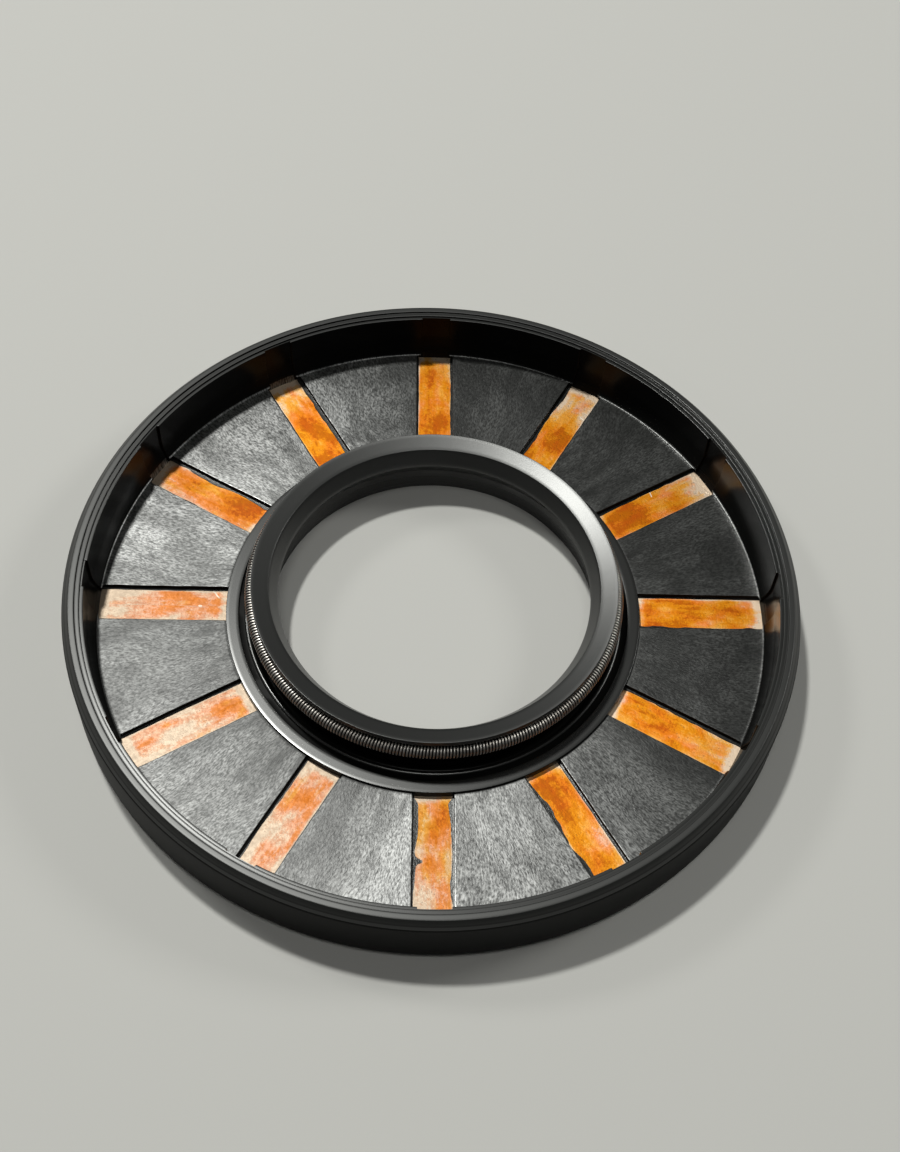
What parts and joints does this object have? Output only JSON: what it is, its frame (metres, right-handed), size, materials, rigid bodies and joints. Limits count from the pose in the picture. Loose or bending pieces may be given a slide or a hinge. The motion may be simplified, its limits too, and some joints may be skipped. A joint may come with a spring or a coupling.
{
  "type": "radial shaft seal",
  "caption": "Rubber-covered radial shaft seal with a spring-loaded lip, a stiffening ring inside and open windows round its oil side.",
  "frame": {"origin": "on the axis of rotation, in the plane of the air-side face that the seal lies on", "axes": "+Z along the axis of rotation, from the air side towards the oil side where the spring shows; one window lies on +Y"},
  "size_m": [0.08, 0.08, 0.008],
  "materials": {
    "rubber": "satin",
    "coated_steel": "satin",
    "spring_steel": "satin"
  },
  "bodies": {
    "root": {"rubber_body": "rubber", "metal_insert": "coated_steel", "garter_spring": "spring_steel"}
  },
  "joints": []
}
